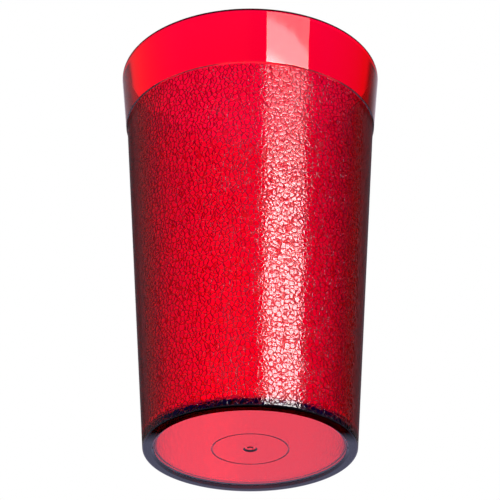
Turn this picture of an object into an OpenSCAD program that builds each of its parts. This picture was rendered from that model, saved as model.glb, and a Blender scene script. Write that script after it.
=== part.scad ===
// Drinking tumbler, moulded in one piece from clear red plastic.
// A tapered cup with a smooth rim band, a body wall that steps in below the
// band, a rounded foot and a slightly raised underside with a gate mark.
// Millimetres. Origin at the centre of the underside, on the surface that the
// tumbler stands on. +Z runs up the axis, through the mouth.

/* [Rim] */
// Outside diameter at the widest point of the lip
rim_d = 66; // [56:0.5:90]
// Overall height, from the standing surface to the top of the lip
height = 104.3; // [70:0.5:160]
// Height of the smooth band, from the top of the lip down to its lower edge
band_h = 15.1; // [8:0.1:30]
// Lean of the band's outside away from the axis, in degrees
band_lean = 5.41; // [1:0.01:10]
// How far the band stands out from the body wall below it
band_step = 0.3; // [0.1:0.05:0.8]
// Height of the sloped face under the band's lower edge
step_h = 0.25; // [0.1:0.05:1]

/* [Wall] */
// Thickness of the wall, square to its surface
wall_t = 2; // [1.4:0.1:3.5]

/* [Base] */
// Outside diameter at the standing surface, before its corner is rounded
foot_d = 51.12; // [44:0.01:54]
// Rounding of the outer corner of the foot
foot_round = 0.6; // [0.4:0.1:2]
// Width of the flat ring that the tumbler stands on
foot_ring_w = 1.6; // [0.5:0.1:3]
// Height of the raised underside above the standing surface
recess_h = 0.5; // [0.2:0.1:2]
// Width of the slope between the foot ring and the raised underside
recess_slope_w = 0.5; // [0.2:0.1:2]
// Thickness of the floor
floor_t = 2.4; // [1.5:0.1:5]
// Rounding of the inside corner between the floor and the wall
inner_round = 1.6; // [0.8:0.1:4]

/* [Mould marks] */
// Radius of the fine line that the core insert leaves in the underside
insert_line_r = 9.1; // [6:0.1:14]
// Radius of the round section of that line
insert_line_section_r = 0.12; // [0.08:0.01:0.3]
// Diameter of the dimple round the gate, at the underside
gate_dimple_d = 3.4; // [3:0.1:6]
// Depth of that dimple
gate_dimple_depth = 0.35; // [0.2:0.05:0.5]
// Diameter of the nub that the gate leaves in the dimple
gate_nub_d = 1.3; // [0.8:0.1:1.8]
// Length of that nub
gate_nub_h = 0.25; // [0.1:0.05:0.6]

/* [Hidden] */
plastic_red = [0.86, 0.02, 0.12, 0.75];
arc_fn = 96;
turn_fn = 240;
rim_r = rim_d / 2;
foot_r = foot_d / 2;
lip_r = wall_t / 2;
lip_centre = [rim_r - lip_r, height - lip_r];

// Point on a rounding where a surface that leans out by lean degrees leaves it:
// side 1 is the surface outside of the rounding, side -1 the one inside of it
function tangent_point(centre, r, lean, side) = centre + side * r * [cos(lean), -sin(lean)];

// Outside of the band, tangent to the lip
lip_outside = tangent_point(lip_centre, lip_r, band_lean, 1);
band_low_z = height - band_h;
band_low_r = lip_outside.x - (lip_outside.y - band_low_z) * tan(band_lean);

// Outside of the body, which steps in below the band
body_top_z = band_low_z - step_h;
body_top_r = band_low_r - band_step;
body_lean = atan2(body_top_r - foot_r, body_top_z);
function body_r(z) = foot_r + z * tan(body_lean);
foot_centre = [body_r(foot_round) - foot_round / cos(body_lean), foot_round];

// Inside, parallel to the body wall up to the band and then tangent to the lip
floor_z = recess_h + floor_t;
function inside_r(z) = body_r(z) - wall_t / cos(body_lean);
inner_centre = [
  inside_r(floor_z + inner_round) - inner_round / cos(body_lean),
  floor_z + inner_round
];
inside_bend = [inside_r(body_top_z), body_top_z];
to_lip = lip_centre - inside_bend;
inside_band_lean = atan2(to_lip.x, to_lip.y) - asin(lip_r / norm(to_lip));
lip_inside = tangent_point(lip_centre, lip_r, inside_band_lean, -1);

// Underside
recess_r = foot_centre.x - foot_ring_w;
gate_dimple_r = gate_dimple_d / 2;
gate_dimple_z = recess_h + gate_dimple_depth;
gate_nub_r = gate_nub_d / 2;
below_foot_z = -1;

// Outside of the cup, as one half section
module outside_section() {
  polygon([
    [0, 0],
    [foot_centre.x, 0],
    tangent_point(foot_centre, foot_round, body_lean, 1),
    [body_top_r, body_top_z],
    [band_low_r, band_low_z],
    lip_outside,
    lip_inside,
    [0, lip_inside.y]
  ]);
  translate(foot_centre) circle(r = foot_round, $fn = arc_fn);
  translate(lip_centre) circle(r = lip_r, $fn = arc_fn);
}

// Space inside the cup, open past the lip
module inside_section() {
  polygon([
    [0, floor_z],
    [inner_centre.x, floor_z],
    tangent_point(inner_centre, inner_round, body_lean, 1),
    inside_bend,
    lip_inside,
    [lip_inside.x, height],
    [0, height]
  ]);
  translate(inner_centre) circle(r = inner_round, $fn = arc_fn);
}

// Space under the raised underside, with the insert line, the gate's dimple
// and the nub that stands in it
module underside_section() {
  polygon([
    [0, below_foot_z],
    [recess_r, below_foot_z],
    [recess_r, 0],
    [recess_r - recess_slope_w, recess_h],
    [gate_dimple_r, recess_h],
    [gate_dimple_r - gate_dimple_depth, gate_dimple_z],
    [gate_nub_r, gate_dimple_z],
    [gate_nub_r, gate_dimple_z - gate_nub_h],
    [0, gate_dimple_z - gate_nub_h]
  ]);
  translate([insert_line_r, recess_h]) circle(r = insert_line_section_r, $fn = arc_fn);
}

// The moulded cup: one solid, its half section turned round the axis
module tumbler() {
  color(plastic_red)
    rotate_extrude($fn = turn_fn)
      difference() {
        outside_section();
        inside_section();
        underside_section();
      }
}

tumbler();
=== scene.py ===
# %% [markdown]
# A clear red drinking tumbler, moulded in one shot. The real one has a polished band below its lip,
# a pebble grain on the rest of its outside, and a polished inside and underside. It is one closed
# shell of plastic, so it is made here as one closed mesh: light has to enter it and leave it again
# for the red to build up with the thickness, as it does in the real wall.

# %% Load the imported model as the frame
import math

import bmesh
import bpy
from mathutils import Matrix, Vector


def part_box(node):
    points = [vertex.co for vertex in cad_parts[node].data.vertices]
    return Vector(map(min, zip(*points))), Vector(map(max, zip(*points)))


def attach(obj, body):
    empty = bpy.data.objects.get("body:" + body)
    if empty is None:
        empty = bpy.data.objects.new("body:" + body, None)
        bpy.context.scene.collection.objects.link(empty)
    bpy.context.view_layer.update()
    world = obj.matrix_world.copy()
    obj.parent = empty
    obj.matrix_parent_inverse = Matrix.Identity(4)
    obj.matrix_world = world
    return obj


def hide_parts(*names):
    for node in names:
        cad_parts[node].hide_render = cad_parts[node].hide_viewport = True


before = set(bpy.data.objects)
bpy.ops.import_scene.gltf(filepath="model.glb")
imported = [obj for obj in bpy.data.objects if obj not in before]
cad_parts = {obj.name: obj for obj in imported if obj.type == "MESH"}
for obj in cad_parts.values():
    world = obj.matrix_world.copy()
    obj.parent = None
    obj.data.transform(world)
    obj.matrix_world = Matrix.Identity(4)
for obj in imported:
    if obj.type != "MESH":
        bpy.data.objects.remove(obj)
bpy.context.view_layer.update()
MM = 0.001
LOW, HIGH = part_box("tumbler")
HEIGHT = HIGH[2] - LOW[2]
RIM_R = HIGH[0]
print(f"The tumbler is {HEIGHT / MM:.1f} mm tall and {2 * RIM_R / MM:.1f} mm across the lip")

# %% [markdown]
# The section. A turned or moulded round thing is drawn as one half section and swung round its axis.
# Each size below is one that a mould maker would set: the band, the step under it, the wall, the
# floor, the foot and the marks that the mould leaves in the underside. Height and lip come from the
# frame, so the drawing can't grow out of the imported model.

# %% Sizes of the section
BAND_H = 15.1 * MM
BAND_LEAN = math.radians(5.41)
BAND_STEP = 0.3 * MM
STEP_H = 0.25 * MM
WALL_T = 2.0 * MM
FOOT_R = 25.56 * MM
FOOT_ROUND = 0.6 * MM
FOOT_RING_W = 1.6 * MM
RECESS_H = 0.5 * MM
RECESS_SLOPE_W = 0.5 * MM
FLOOR_T = 2.4 * MM
INNER_ROUND = 1.6 * MM
INSERT_LINE_R = 9.1 * MM
INSERT_LINE_W = 0.3 * MM
INSERT_LINE_DEPTH = 0.15 * MM
GATE_DIMPLE_R = 1.7 * MM
GATE_DIMPLE_DEPTH = 0.35 * MM
GATE_NUB_R = 0.65 * MM
GATE_NUB_H = 0.25 * MM
EDGE_ROUND = 0.08 * MM

lip_r = WALL_T / 2
lip_x = RIM_R - lip_r
lip_z = HEIGHT - lip_r
band_low_z = HEIGHT - BAND_H
body_top_z = band_low_z - STEP_H


def lip_line(lean, side, z):
    """Radius at a height of the line that touches the lip's rounding outside (side 1) or inside (-1)."""
    return lip_x + side * lip_r / math.cos(lean) + (z - lip_z) * math.tan(lean)


band_low_r = lip_line(BAND_LEAN, 1, band_low_z)
body_top_r = band_low_r - BAND_STEP
body_lean = math.atan2(body_top_r - FOOT_R, body_top_z)


def body_inside_r(z):
    """Radius of the inside of the body wall at a height."""
    return FOOT_R + z * math.tan(body_lean) - WALL_T / math.cos(body_lean)


bend_r = body_inside_r(body_top_z)
bend_to_lip = math.hypot(lip_x - bend_r, lip_z - body_top_z)
inside_lean = math.atan2(lip_x - bend_r, lip_z - body_top_z) - math.asin(lip_r / bend_to_lip)
floor_z = RECESS_H + FLOOR_T
recess_r = FOOT_R + FOOT_ROUND * (math.tan(body_lean) - 1 / math.cos(body_lean)) - FOOT_RING_W
dimple_z = RECESS_H + GATE_DIMPLE_DEPTH
print(f"The body wall leans {math.degrees(body_lean):.2f} degrees")

# %% [markdown]
# The section's corners. The list runs as a finger would over a cut cup: from the gate over the
# underside, round the foot, up the outside, over the lip and down the inside to the floor. The lip's
# two arcs are a hundredth smaller than half the wall, so that a sliver of flat is left between them
# and they can't run into each other.

# %% List the section's corners
LIP_ARC_R = 0.99 * lip_r
BEND_R = 8 * WALL_T


def section_corners():
    """The section's corners, from the gate round the outside to the floor.

    Each has its radius from the axis, its height, its rounding and the number of steps in its arc.
    """
    mark = EDGE_ROUND
    return [
        (0, dimple_z - GATE_NUB_H, 0, 0),
        (GATE_NUB_R, dimple_z - GATE_NUB_H, mark, 2),
        (GATE_NUB_R, dimple_z, mark, 1),
        (GATE_DIMPLE_R - GATE_DIMPLE_DEPTH, dimple_z, mark, 1),
        (GATE_DIMPLE_R, RECESS_H, mark, 2),
        (INSERT_LINE_R - INSERT_LINE_W / 2, RECESS_H, 0, 0),
        (INSERT_LINE_R, RECESS_H + INSERT_LINE_DEPTH, mark / 2, 1),
        (INSERT_LINE_R + INSERT_LINE_W / 2, RECESS_H, 0, 0),
        (recess_r - RECESS_SLOPE_W, RECESS_H, 2 * mark, 2),
        (recess_r, 0, 2 * mark, 2),
        (FOOT_R, 0, FOOT_ROUND, 5),
        (body_top_r, body_top_z, mark, 1),
        (band_low_r, band_low_z, mark, 2),
        (lip_line(BAND_LEAN, 1, HEIGHT), HEIGHT, LIP_ARC_R, 6),
        (lip_line(inside_lean, -1, HEIGHT), HEIGHT, LIP_ARC_R, 6),
        (bend_r, body_top_z, BEND_R, 3),
        (body_inside_r(floor_z), floor_z, INNER_ROUND, 6),
        (0, floor_z, 0, 0),
    ]


print(f"The section has {len(section_corners())} corners")

# %% [markdown]
# Corners as moulded. No edge of a moulding is sharp, and on clear plastic each rounding catches a
# thin line of light. The section is a wire of straight pieces, and Bevel on its corner points turns
# each into an arc that is tangent to both sides. The length that Bevel takes off is worked out from
# the wanted radius and the angle at the corner.


# %% Draw the half section
def round_corner(bm, corner, radius, steps):
    """Turns a corner of the wire into an arc of that radius."""
    along = [edge.other_vert(corner).co - corner.co for edge in corner.link_edges]
    cut = radius / math.tan(along[0].angle(along[1]) / 2)
    bmesh.ops.bevel(
        bm, geom=[corner], offset=cut, offset_type="OFFSET", segments=steps,
        profile=0.5, affect="VERTICES", material=-1,
    )


section = bmesh.new()
for layer_name in ("grain", "foot", "lip"):
    section.verts.layers.float.new(layer_name)
grain_layer, foot_layer, lip_layer = section.verts.layers.float.values()
corners = section_corners()
wire = [section.verts.new((r, 0, z)) for r, z, _, _ in corners]
for first, second in zip(wire, wire[1:]):
    section.edges.new((first, second))
for corner, (_, _, radius, steps) in zip(wire, corners):
    if radius:
        round_corner(section, corner, radius, steps)
print(f"The section has {len(section.verts)} points")

# %% [markdown]
# Flats that stay flat. Smooth shading bends the light across a whole face between two roundings,
# and clear plastic would show that as a lens. A point close to each end of every straight piece
# keeps the bending inside the roundings. The points of the etched wall carry 1 in a layer named
# grain, which later tells the material where the mould was etched. Two more layers mark the foot
# and the lip, where light is caught inside the plastic and the material paints that shade in. The
# layers spin with the section.

# %% Hold the flats and mark the etched wall
FLAT_HOLD = 0.12 * MM
TOUCHING = 0.001 * MM
PAST_SLOPE = 1.2 * RECESS_SLOPE_W

for edge in section.edges[:]:
    if edge.calc_length() > 4 * FLAT_HOLD:
        for end in edge.verts[:]:
            bmesh.utils.edge_split(edge, end, FLAT_HOLD / edge.calc_length())


def on_etched_wall(point):
    """True for a point on the outside of the body wall, between the foot and the step."""
    wall_r = FOOT_R + point.z * math.tan(body_lean)
    return abs(point.x - wall_r) < TOUCHING and FOOT_ROUND < point.z < body_top_z - FLAT_HOLD / 2


def on_foot(point):
    """True for a point on the foot's rounding, the flat ring or the slope inside the ring."""
    return point.x > recess_r - PAST_SLOPE and point.z < FOOT_ROUND


def on_lip(point):
    """True for a point on the lip's rounding."""
    return point.z > HEIGHT - lip_r


for layer, belongs in ((grain_layer, on_etched_wall), (foot_layer, on_foot), (lip_layer, on_lip)):
    marked = [vert for vert in section.verts if belongs(vert.co)]
    for vert in marked:
        vert[layer] = 1.0
    print(f"{layer.name}: {len(marked)} of the section's {len(section.verts)} points")

# %% [markdown]
# Spin swings the section a full turn. Its first and last copy are merged, and so are the points on
# the axis, which would otherwise be a heap of doubles. The normals are worked out once the shell is
# closed, so that all of them point out of the plastic.

# %% Swing the section round the axis
TURN_STEPS = 320
AXIS_R = 0.01 * MM

bmesh.ops.spin(
    section, geom=section.verts[:] + section.edges[:], cent=(0, 0, 0), axis=(0, 0, 1),
    dvec=(0, 0, 0), angle=2 * math.pi, steps=TURN_STEPS, use_merge=True,
    use_normal_flip=False, use_duplicate=False,
)
on_axis = [v for v in section.verts if math.hypot(v.co.x, v.co.y) < AXIS_R]
bmesh.ops.remove_doubles(section, verts=on_axis, dist=AXIS_R)
bmesh.ops.recalc_face_normals(section, faces=section.faces)
open_edges = sum(1 for edge in section.edges if not edge.is_manifold)
smooth_mesh = bpy.data.meshes.new("tumbler_shell")
for face in section.faces:
    face.smooth = True
section.to_mesh(smooth_mesh)
section.free()
tumbler = bpy.data.objects.new("tumbler_shell", smooth_mesh)
bpy.context.scene.collection.objects.link(tumbler)
print(f"{len(smooth_mesh.polygons)} faces, {open_edges} open edges")

# %% [markdown]
# Finishes are trees of nodes, and a few forms come up again and again: a node with its values, a
# straight slope between two values, a product and a mix. Each is a short helper here, so that the
# finishes below read as a list of what happens to the light.

# %% Helpers for node trees
WHITE = (1.0, 1.0, 1.0, 1.0)
BLACK = (0.0, 0.0, 0.0, 1.0)


def add_node(tree, kind, values=(), **settings):
    """A node of that kind with its settings, and the values of its inputs by name or number."""
    node = tree.nodes.new(kind)
    for name, value in settings.items():
        setattr(node, name, value)
    for name, value in dict(values).items():
        node.inputs[name].default_value = value
    return node


def slope(tree, value, low, high, start=0.0, end=1.0):
    """A straight slope of a value, from start at low to end at high, and level beyond them."""
    ends = {"From Min": low, "From Max": high, "To Min": start, "To Max": end}
    step = add_node(tree, "ShaderNodeMapRange", ends)
    tree.links.new(value, step.inputs["Value"])
    return step.outputs["Result"]


def times(tree, first, second):
    """The product of two values."""
    product = add_node(tree, "ShaderNodeMath", operation="MULTIPLY")
    tree.links.new(first, product.inputs[0])
    tree.links.new(second, product.inputs[1])
    return product.outputs[0]


def mix_colour(tree, factor, first, second):
    """A colour that goes from first to second with the factor. Each may be a socket or a value."""
    mix = add_node(tree, "ShaderNodeMix", data_type="RGBA")
    pairs = ((mix.inputs[0], factor), (mix.inputs[6], first), (mix.inputs[7], second))
    for socket, given in pairs:
        if isinstance(given, bpy.types.NodeSocket):
            tree.links.new(given, socket)
        else:
            socket.default_value = given
    return mix.outputs[2]


def mix_shader(tree, factor, first, second):
    """A shader that goes from first to second with the factor."""
    mix = tree.nodes.new("ShaderNodeMixShader")
    for socket, given in zip(mix.inputs, (factor, first, second)):
        tree.links.new(given, socket)
    return mix.outputs[0]


def empty_material(name):
    """A material with no nodes yet."""
    material = bpy.data.materials.new(name)
    material.use_nodes = True
    material.node_tree.nodes.clear()
    return material


# %% [markdown]
# The pebble grain. The mould's outside is etched into flat-topped pebbles of about a millimetre with
# thin creases between them, only a few hundredths of a millimetre deep. A Voronoi pattern's distance
# to the nearest cell wall is such a height: nothing at the crease, growing inwards. Its cells are
# straight-sided, so the coordinates are pushed about by a noise first. They are then made smaller
# along the axis, which leaves the pebbles a little taller than wide.

# %% Nodes for the distance to a crease
PEBBLE = 1.02 * MM
PEBBLE_STRETCH = (1.0, 1.0, 0.82)
PEBBLE_UNEVEN = 0.9
PEBBLE_WANDER = 0.75 * MM
WANDER_SIZE = 1.25 * MM


def pebble_distance(tree, position):
    """Nodes that give, at a position, the distance to the nearest crease in pebble widths."""
    join = tree.links.new
    noise = add_node(tree, "ShaderNodeTexNoise", {"Scale": 1 / WANDER_SIZE, "Detail": 1.0})
    centred = add_node(tree, "ShaderNodeVectorMath", {1: (0.5, 0.5, 0.5)}, operation="SUBTRACT")
    pushed = add_node(tree, "ShaderNodeVectorMath", {"Scale": PEBBLE_WANDER}, operation="SCALE")
    moved = add_node(tree, "ShaderNodeVectorMath", operation="ADD")
    longer = add_node(tree, "ShaderNodeVectorMath", {1: PEBBLE_STRETCH}, operation="MULTIPLY")
    cells = add_node(
        tree, "ShaderNodeTexVoronoi", {"Scale": 1 / PEBBLE, "Randomness": PEBBLE_UNEVEN},
        feature="DISTANCE_TO_EDGE",
    )
    join(position, noise.inputs["Vector"])
    join(noise.outputs["Color"], centred.inputs[0])
    join(centred.outputs[0], pushed.inputs[0])
    join(position, moved.inputs[0])
    join(pushed.outputs[0], moved.inputs[1])
    join(moved.outputs[0], longer.inputs[0])
    join(longer.outputs[0], cells.inputs["Vector"])
    return cells.outputs["Distance"]


print(f"A pebble is about {PEBBLE / MM:.2f} mm wide and {PEBBLE / PEBBLE_STRETCH[2] / MM:.2f} mm tall")

# %% [markdown]
# The relief is bump, because a crease a few hundredths of a millimetre deep would need far more
# faces than the whole cup. Three heights are laid over each other: the slight waves that moulding
# leaves everywhere, the pebbles' tops, which sink towards their edges, and the creases. The bump is
# weaker where light meets the wall from inside, since at full strength the far wall's pebbles would
# show through the clear underside.

# %% Nodes for the relief
WAVE_DEPTH = 0.006 * MM
TOP_REACH = 0.4
TOP_POWER = 3.0
TOP_RISE = 0.025 * MM
CREASE_REACH = 0.09
CREASE_DEPTH = 0.038 * MM
FAR_RELIEF = 0.3


def surface_normal(tree, waves, distance, grained, far_side):
    """The normal of the plastic: waves everywhere, and pebbles where the mould was etched."""
    join = tree.links.new
    waviness = add_node(tree, "ShaderNodeBump", {"Distance": WAVE_DEPTH})
    join(waves, waviness.inputs["Height"])
    normal = waviness.outputs["Normal"]
    below_top = add_node(tree, "ShaderNodeMath", {1: TOP_POWER}, operation="POWER")
    join(slope(tree, distance, 0.0, TOP_REACH, 1.0, 0.0), below_top.inputs[0])
    above_crease = slope(tree, distance, 0.0, CREASE_REACH)
    strength = slope(tree, far_side, 0.0, 1.0, 1.0, FAR_RELIEF)
    for height, depth in ((below_top.outputs[0], -TOP_RISE), (above_crease, CREASE_DEPTH)):
        bump = add_node(tree, "ShaderNodeBump", {"Distance": abs(depth)}, invert=depth < 0)
        join(strength, bump.inputs["Strength"])
        join(times(tree, height, grained), bump.inputs["Height"])
        join(normal, bump.inputs["Normal"])
        normal = bump.outputs["Normal"]
    return normal


print(f"The creases are {CREASE_DEPTH / MM:.3f} mm deep")

# %% [markdown]
# Clear red plastic. It is a glass shader with no tint of its own where it is polished, and a volume
# that takes green and blue out of the light on its way through: two walls look deeper than one, and
# the long paths near the outline look darkest. Seen at a slant, the pebbles also hold light back, and
# a darker tint on the etched wall paints that shade in. At the foot, light is caught between the
# rounding, the ring and the slope inside it and hardly comes out again, and a nearly black tint
# paints that shade in.

# %% Nodes for the polished plastic
REFRACTION = 1.57
TAKEN_PER_M = (35.0, 3500.0, 1900.0)
POLISH = (0.015, 0.045)
# painted shade: darker tint of the etched wall where it turns away towards the outline
SLANT_PAINTED_SHADE = (0.4, 0.34, 0.38, 1.0)
# painted shade: nearly black tint of the foot and the lip's outline, for light caught inside
CAUGHT_LIGHT_PAINTED_SHADE = (0.002, 0.0002, 0.0006, 1.0)


def polished_plastic(tree, waves, normal, slant_shade_mask, foot):
    """Clear plastic with a polish that varies a little, with painted shade on slanted grain and on the
    foot.
    """
    clear = {"Transmission Weight": 1.0, "IOR": REFRACTION}
    plastic = add_node(tree, "ShaderNodeBsdfPrincipled", clear)
    tint = mix_colour(tree, slant_shade_mask, WHITE, SLANT_PAINTED_SHADE)
    tree.links.new(mix_colour(tree, foot, tint, CAUGHT_LIGHT_PAINTED_SHADE), plastic.inputs["Base Color"])
    tree.links.new(slope(tree, waves, 0.0, 1.0, *POLISH), plastic.inputs["Roughness"])
    tree.links.new(normal, plastic.inputs["Normal"])
    return plastic.outputs[0]


def absorbing(taken):
    """Colour and density of a Volume Absorption that takes those shares of light away per metre."""
    density = max(taken)
    return {"Color": [1 - share / density for share in taken] + [1.0], "Density": density}


print(f"A wall of {WALL_T / MM:.0f} mm lets {math.exp(-TAKEN_PER_M[1] * WALL_T):.1%} of the green through")

# %% [markdown]
# Frost in the creases. Etching leaves the bottom of a crease matt, so it blurs what is behind it. A
# refraction shader with some roughness does that, without a gloss of its own, and is mixed in only
# inside the creases; its colour is a little darker than white, which paints shade into the creases.
# Over the whole wall it would wash the grain out. Where the wall turns away near the outline, most of
# it is seen through frost, and there its colour turns dark, which paints shade along the outline.

# %% Nodes for the frost and its painted shade
FROST_ROUGHNESS = 0.28
# painted shade: the frost's colour, a little dark facing the camera and much darker at a slant
FROST_SHADE_FACING = (0.88, 0.82, 0.86, 1.0)
FROST_SHADE_AT_A_SLANT = (0.3, 0.24, 0.3, 1.0)
FROST_IN_CREASE = 0.56
FROST_REACH = (0.07, 0.095)
FROST_AT_EDGE = 0.8
EDGE_SLANT = (0.48, 0.78)


def frost_with_painted_shade(tree, normal, by_slant):
    """Matt plastic with painted shade: a little dark facing the camera, and much darker at a slant."""
    matt = {"IOR": REFRACTION, "Roughness": FROST_ROUGHNESS}
    frost = add_node(tree, "ShaderNodeBsdfRefraction", matt)
    colour = mix_colour(tree, by_slant, FROST_SHADE_FACING, FROST_SHADE_AT_A_SLANT)
    tree.links.new(colour, frost.inputs["Color"])
    tree.links.new(normal, frost.inputs["Normal"])
    return frost.outputs[0]


def frost_and_shade_share(tree, distance, slant, near_grain):
    """How much of the surface is frost with painted shade: the creases of the near wall, and most of it at
    its edges.
    """
    more = add_node(tree, "ShaderNodeMath", operation="MAXIMUM")
    tree.links.new(slope(tree, slant, *EDGE_SLANT, 0.0, FROST_AT_EDGE), more.inputs[0])
    tree.links.new(slope(tree, distance, *FROST_REACH, FROST_IN_CREASE, 0.0), more.inputs[1])
    return times(tree, near_grain, more.outputs[0])


print(f"A crease's frost is {2 * FROST_REACH[1] * PEBBLE / MM:.2f} mm wide")

# %% [markdown]
# The lip's outline. The rounding of the lip catches light as the foot does, and a dark line painted
# along the rim stands for that shade. Only what the camera sees of it directly is darkened: seen
# through another wall, the same line would lie across the body as a dark arc.

# %% Nodes for the lip
LIP_SLANT = (0.0, 0.14)
LIP_DARK = 0.97
LIP_ROUGHNESS = 0.3


def painted_lip_shade(tree):
    """The plastic of the lip, tinted nearly black as painted shade for light caught in its rounding."""
    caught = {"IOR": REFRACTION, "Roughness": LIP_ROUGHNESS, "Color": CAUGHT_LIGHT_PAINTED_SHADE}
    return add_node(tree, "ShaderNodeBsdfRefraction", caught).outputs[0]


def lip_share(tree, slant, lip, seen_directly):
    """How much of the surface is the lip's painted dark outline."""
    return times(tree, slope(tree, slant, *LIP_SLANT, 0.0, LIP_DARK), times(tree, lip, seen_directly))


print(f"The lip's rounding has a radius of {lip_r / MM:.1f} mm")

# %% [markdown]
# Now the parts go together: polished plastic, frost with its painted shade over it where the grain
# has creases and near the outline, the painted dark lip over both. Lamps' rays pass straight through,
# so that the plastic throws a red shadow and not a black one. The layers of the mesh say where the
# grain, the foot and the lip are.

# %% The clear red plastic
WAVE_SIZE = 9 * MM
SLANT_REACH = 0.45
LAMP_PASS = (0.86, 0.86, 0.86, 1.0)


def mesh_layer(tree, name):
    """The value of a layer of the mesh: grain, foot or lip."""
    return add_node(tree, "ShaderNodeAttribute", attribute_name=name).outputs["Fac"]


def clear_red_plastic():
    """The material of the whole moulding."""
    material = empty_material("moulded_red_plastic")
    tree = material.node_tree
    join = tree.links.new
    place = tree.nodes.new("ShaderNodeTexCoord").outputs["Object"]
    rays = tree.nodes.new("ShaderNodeLightPath").outputs
    far_side = tree.nodes.new("ShaderNodeNewGeometry").outputs["Backfacing"]
    slant = add_node(tree, "ShaderNodeLayerWeight", {"Blend": 0.5}).outputs["Facing"]
    waves = add_node(tree, "ShaderNodeTexNoise", {"Scale": 1 / WAVE_SIZE, "Detail": 2.0})
    join(place, waves.inputs["Vector"])
    distance = pebble_distance(tree, place)
    grained = mesh_layer(tree, "grain")
    near_grain = times(tree, slope(tree, far_side, 0.0, 1.0, 1.0, 0.0), grained)
    by_slant = slope(tree, slant, 0.0, SLANT_REACH)

    normal = surface_normal(tree, waves.outputs["Fac"], distance, grained, far_side)
    # painted shade: the etched wall seen at a slant is tinted darker, and the foot nearly black
    slant_shade_mask = times(tree, by_slant, near_grain)
    foot = mesh_layer(tree, "foot")
    polished = polished_plastic(tree, waves.outputs["Fac"], normal, slant_shade_mask, foot)
    # painted shade: frost tinted darker in the creases and much darker near the outline
    shaded_frost = frost_with_painted_shade(tree, normal, by_slant)
    wall = mix_shader(tree, frost_and_shade_share(tree, distance, slant, near_grain), polished, shaded_frost)
    # painted shade: the lip's rounding, seen directly, is drawn as a nearly black line
    on_rim = lip_share(tree, slant, mesh_layer(tree, "lip"), rays["Is Camera Ray"])
    seen = mix_shader(tree, on_rim, wall, painted_lip_shade(tree))
    let_by = add_node(tree, "ShaderNodeBsdfTransparent", {"Color": LAMP_PASS})

    red = add_node(tree, "ShaderNodeVolumeAbsorption", absorbing(TAKEN_PER_M))
    out = tree.nodes.new("ShaderNodeOutputMaterial")
    join(mix_shader(tree, rays["Is Shadow Ray"], seen, let_by.outputs[0]), out.inputs["Surface"])
    join(red.outputs[0], out.inputs["Volume"])
    return material


tumbler.data.materials.clear()
tumbler.data.materials.append(clear_red_plastic())
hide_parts("tumbler")
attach(tumbler, "root")
print(f"The plastic has {len(tumbler.data.materials[0].node_tree.nodes)} nodes")

# %% [markdown]
# The shade under the foot. Where the near half of the foot ring stands on the table, hardly any
# light gets in, and the polished ring mirrors that darkness. The shade is worked out from the place
# on the floor: a ring round the axis, cut off behind the near half.

# %% Nodes for the shade under the foot
SHADE_STARTS = (22.8 * MM, 23.4 * MM)
SHADE_ENDS = (26 * MM, 30 * MM)
NEAR_HALF = (-11 * MM, -5 * MM)


def contact_shade(tree):
    """1 where the near half of the foot ring stands on the floor, and 0 elsewhere."""
    place = tree.nodes.new("ShaderNodeTexCoord").outputs["Object"]
    away = add_node(tree, "ShaderNodeVectorMath", operation="LENGTH")
    across = tree.nodes.new("ShaderNodeSeparateXYZ")
    tree.links.new(place, away.inputs[0])
    tree.links.new(place, across.inputs[0])
    radius = away.outputs["Value"]
    ring = times(tree, slope(tree, radius, *SHADE_STARTS), slope(tree, radius, *SHADE_ENDS, 1.0, 0.0))
    return times(tree, ring, slope(tree, across.outputs["Y"], *NEAR_HALF, 1.0, 0.0))


print(f"The shade reaches from {SHADE_STARTS[0] / MM:.1f} to {SHADE_ENDS[1] / MM:.1f} mm from the axis")

# %% [markdown]
# The floor. It is a plain pale sheet that can be seen from above and not from below, because this
# camera looks up at the underside from under the table's height. Mirror rays alone see it as an even
# pale tone, so that the underside shows it as a soft grey gloss. Rays through clear plastic count as
# glossy rays too, so they are taken off first and see the plain sheet.

# %% The floor's finish
FLOOR_COLOUR = (0.86, 0.86, 0.87, 1.0)
FLOOR_IN_MIRROR = (0.49, 0.49, 0.77, 1.0)


def floor_material():
    """A pale sheet that shows its upper side only."""
    material = empty_material("pale_floor")
    tree = material.node_tree
    rays = tree.nodes.new("ShaderNodeLightPath").outputs
    sheet = add_node(tree, "ShaderNodeBsdfDiffuse", {"Color": FLOOR_COLOUR})
    mirrored = add_node(tree, "ShaderNodeEmission", {"Strength": 1.0})
    tone = mix_colour(tree, contact_shade(tree), FLOOR_IN_MIRROR, BLACK)
    tree.links.new(tone, mirrored.inputs["Color"])
    mirror_only = add_node(tree, "ShaderNodeMath", operation="SUBTRACT", use_clamp=True)
    tree.links.new(rays["Is Glossy Ray"], mirror_only.inputs[0])
    tree.links.new(rays["Is Transmission Ray"], mirror_only.inputs[1])
    upper = mix_shader(tree, mirror_only.outputs[0], sheet.outputs[0], mirrored.outputs[0])
    unseen = tree.nodes.new("ShaderNodeBsdfTransparent").outputs[0]
    below = tree.nodes.new("ShaderNodeNewGeometry").outputs["Backfacing"]
    out = tree.nodes.new("ShaderNodeOutputMaterial")
    tree.links.new(mix_shader(tree, below, upper, unseen), out.inputs["Surface"])
    return material


# %% Lay the floor
FLOOR_HALF = 1.6

floor_bm = bmesh.new()
bmesh.ops.create_grid(floor_bm, x_segments=1, y_segments=1, size=FLOOR_HALF)
floor_mesh = bpy.data.meshes.new("floor")
floor_bm.to_mesh(floor_mesh)
floor_bm.free()
floor_sheet = bpy.data.objects.new("floor", floor_mesh)
floor_mesh.materials.append(floor_material())
bpy.context.scene.collection.objects.link(floor_sheet)
print(f"The floor is {2 * FLOOR_HALF:.1f} m across")

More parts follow.
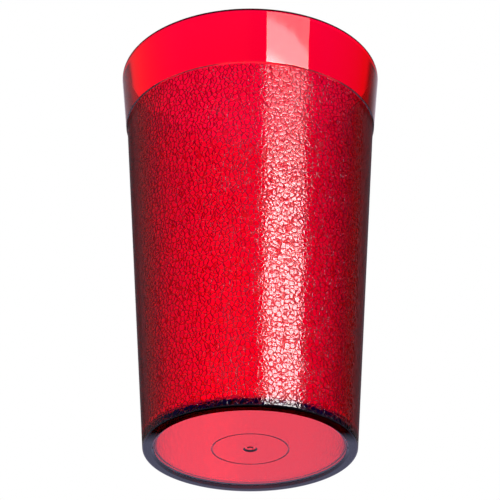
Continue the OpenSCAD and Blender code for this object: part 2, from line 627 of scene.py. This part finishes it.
# %% [markdown]
# The studio. Clear things show their surroundings and little else, so the surroundings are set with
# care: a white backdrop straight behind, which fills the plastic with light, black strips beside
# it, which draw the cup's edges, and paler walls further round. Each is a stop on a ramp that runs
# round the horizon, in degrees from straight behind. Rays through the plastic and mirror rays each
# get a ramp, what lies behind also goes by its height, and high up at the sides the mirrored room
# turns violet.

# %% Stops of the studio's ramps
BACKDROP_THROUGH = (
    (-52, 1.0), (-44, 0.12), (-28, 0.16), (-14, 0.22), (-11.5, 0.35), (-9.8, 1.3), (-4, 1.4),
    (-1.5, 1.24), (0, 1.14), (3, 1.08), (9, 1.05), (10.8, 0.34), (14, 0.22), (28, 0.12),
    (44, 0.12), (52, 1.0),
)
BACKDROP_BY_HEIGHT = (
    (20, 1.0), (25, 1.0), (26, 1.0), (27, 1.02), (28, 1.06), (30.5, 0.95), (33, 1.0), (40, 1.05),
)
MIRRORED_ROOM = (
    (-120, 0.02), (-93, 0.05), (-80, 0.08), (-70, 0.11), (-57, 0.15), (-46, 0.18), (-40, 0.2),
    (-32, 0.25), (-18, 0.3), (-11, 0.6), (11, 0.6), (28, 0.32), (36, 0.13), (42, 0.06), (46, 0.03),
    (50, 0.02), (85, 0.01), (120, 0.0),
)
VIOLET_SHADE = ((-110, 1), (-60, 0), (60, 0), (110, 1))
VIOLET_CLIMB = ((8, 0), (12, 0), (18, 1), (40, 1))
lit = [degrees for degrees, glow in BACKDROP_THROUGH if glow > 1.0]
print(f"The white backdrop is {lit[-1] - lit[0]:.1f} degrees wide")

# %% [markdown]
# A ramp by angle. A Float Curve holds the stops as points with straight handles, so a ramp is level,
# rises or falls only where its stops say so. Its values lie between 0 and 1, so they are divided by
# the highest stop on the way in and multiplied by it on the way out.


# %% A ramp by angle
def ramp_by_degrees(tree, radians, stops):
    """A value by an angle, from stops of degrees and value, level beyond the outer stops."""
    first, last = stops[0][0], stops[-1][0]
    highest = max(value for _, value in stops)
    share = slope(tree, radians, math.radians(first), math.radians(last))
    ramp = tree.nodes.new("ShaderNodeFloatCurve")
    curve = ramp.mapping.curves[0]
    for _ in stops[2:]:
        curve.points.new(0.5, 0.5)
    for point, (degrees, value) in zip(curve.points, stops):
        point.location = ((degrees - first) / (last - first), value / highest)
        point.handle_type = "VECTOR"
    ramp.mapping.update()
    scale = add_node(tree, "ShaderNodeMath", {1: highest}, operation="MULTIPLY")
    tree.links.new(share, ramp.inputs["Value"])
    tree.links.new(ramp.outputs[0], scale.inputs[0])
    return scale.outputs[0]


# %% [markdown]
# The world. A direction is turned into two angles, one round the horizon and one up from it. Each
# kind of ray then gets its own colour: what is seen through plastic, what a polished surface
# mirrors, the even light on the rest, and plain white for the camera itself.

# %% The world
VIOLET = (0.02, 0.0, 0.34, 1.0)
ROOM_TINT = (1.0, 0.94, 1.1, 1.0)
ROOM_LIGHT = (0.55, 0.55, 0.55, 1.0)

world = bpy.data.worlds.new("studio")
world.use_nodes = True
bpy.context.scene.world = world
sky = world.node_tree
sky.nodes.clear()
direction = sky.nodes.new("ShaderNodeTexCoord").outputs["Generated"]
parts = sky.nodes.new("ShaderNodeSeparateXYZ")
sky.links.new(direction, parts.inputs[0])
turn = add_node(sky, "ShaderNodeMath", operation="ARCTAN2")
climb = add_node(sky, "ShaderNodeMath", operation="ARCSINE")
sky.links.new(parts.outputs["X"], turn.inputs[0])
sky.links.new(parts.outputs["Y"], turn.inputs[1])
sky.links.new(parts.outputs["Z"], climb.inputs[0])
round_horizon = turn.outputs[0]
up = climb.outputs[0]
by_turn = ramp_by_degrees(sky, round_horizon, BACKDROP_THROUGH)
through = times(sky, by_turn, ramp_by_degrees(sky, up, BACKDROP_BY_HEIGHT))
mirrored = ramp_by_degrees(sky, round_horizon, MIRRORED_ROOM)
at_the_sides = ramp_by_degrees(sky, round_horizon, VIOLET_SHADE)
violet = times(sky, at_the_sides, ramp_by_degrees(sky, up, VIOLET_CLIMB))
room = mix_colour(sky, mirrored, mix_colour(sky, violet, BLACK, VIOLET), ROOM_TINT)
rays = sky.nodes.new("ShaderNodeLightPath").outputs
colour = mix_colour(sky, rays["Is Glossy Ray"], ROOM_LIGHT, room)
colour = mix_colour(sky, rays["Is Transmission Ray"], colour, through)
colour = mix_colour(sky, rays["Is Camera Ray"], colour, WHITE)
background = sky.nodes.new("ShaderNodeBackground")
sky.links.new(colour, background.inputs["Color"])
sky_out = sky.nodes.new("ShaderNodeOutputWorld")
sky.links.new(background.outputs[0], sky_out.inputs["Surface"])
print(f"The studio has {len(sky.nodes)} nodes")

# %% [markdown]
# One tall soft lamp stands to the right of the camera. It is what draws the bright upright strip on
# the plastic. Its cloth is brightest low down and fades in steps to its upper edge, and it is bowed
# round the cup, so it is made of small lamps in rows and columns. A last one hangs overhead and
# lights the floor and the lip.

# %% The lamps
LAMP_COLUMNS = (14, 23.5, 33, 42.5, 52)
LAMP_ROWS = ((10, 22.3, 13.5), (22.3, 23.4, 6.4), (23.4, 29, 2.6))
LAMP_FAR = 3.0
AIM = Vector((0, 0, 0.1))
TOP_LAMP_Z = 1.1
TOP_LAMP_WIDE = 0.9
TOP_LAMP_GLOW = 1.2


def soft_lamp(name, place, wide, tall, glow):
    """A soft lamp of that size that faces the cup. Its power is brightness times pi times area."""
    data = bpy.data.lights.new(name, "AREA")
    data.shape = "RECTANGLE"
    data.size = wide
    data.size_y = tall
    data.energy = glow * math.pi * wide * tall
    lamp = bpy.data.objects.new(name, data)
    lamp.location = place
    lamp.rotation_euler = (AIM - place).to_track_quat("-Z", "Y").to_euler()
    lamp.visible_camera = False
    bpy.context.scene.collection.objects.link(lamp)


for left, right in zip(LAMP_COLUMNS, LAMP_COLUMNS[1:]):
    for low, high, glow in LAMP_ROWS:
        round_to = math.radians((left + right) / 2)
        climb_to = math.radians((low + high) / 2)
        way = Vector((math.sin(round_to), -math.cos(round_to), math.tan(climb_to))).normalized()
        tall = 2 * LAMP_FAR * math.tan(math.radians(high - low) / 2)
        wide = 2 * LAMP_FAR * math.cos(climb_to) * math.tan(math.radians(right - left) / 2)
        soft_lamp(f"tall_lamp_{left}_{low}", AIM + LAMP_FAR * way, wide, tall, glow)
soft_lamp("top_lamp", Vector((0, 0, TOP_LAMP_Z)), TOP_LAMP_WIDE, TOP_LAMP_WIDE, TOP_LAMP_GLOW)
print(f"{len(bpy.data.lights)} lamps, {len(LAMP_ROWS) * (len(LAMP_COLUMNS) - 1)} of them in the tall one")

# %% [markdown]
# The camera stands below the tumbler's foot and looks up at it, with a long lens, so that the
# underside shows as a shallow oval. Its place was found by fitting the cup's outline.

# %% The camera
LOOK_UP = math.radians(28.36)
LENS_MM = 160.5
SENSOR_MM = 36.0
CAMERA_PLACE = (-0.05 * MM, -487.3 * MM, -208.9 * MM)

camera_data = bpy.data.cameras.new("camera")
camera_data.lens = LENS_MM
camera_data.sensor_width = SENSOR_MM
camera = bpy.data.objects.new("camera", camera_data)
camera.location = CAMERA_PLACE
camera.rotation_euler = (math.pi / 2 + LOOK_UP, 0, 0)
bpy.context.scene.collection.objects.link(camera)
bpy.context.scene.camera = camera
bpy.context.scene.view_settings.view_transform = "Standard"
print(f"The camera is {camera.location.length:.2f} m away and looks up {math.degrees(LOOK_UP):.1f} degrees")
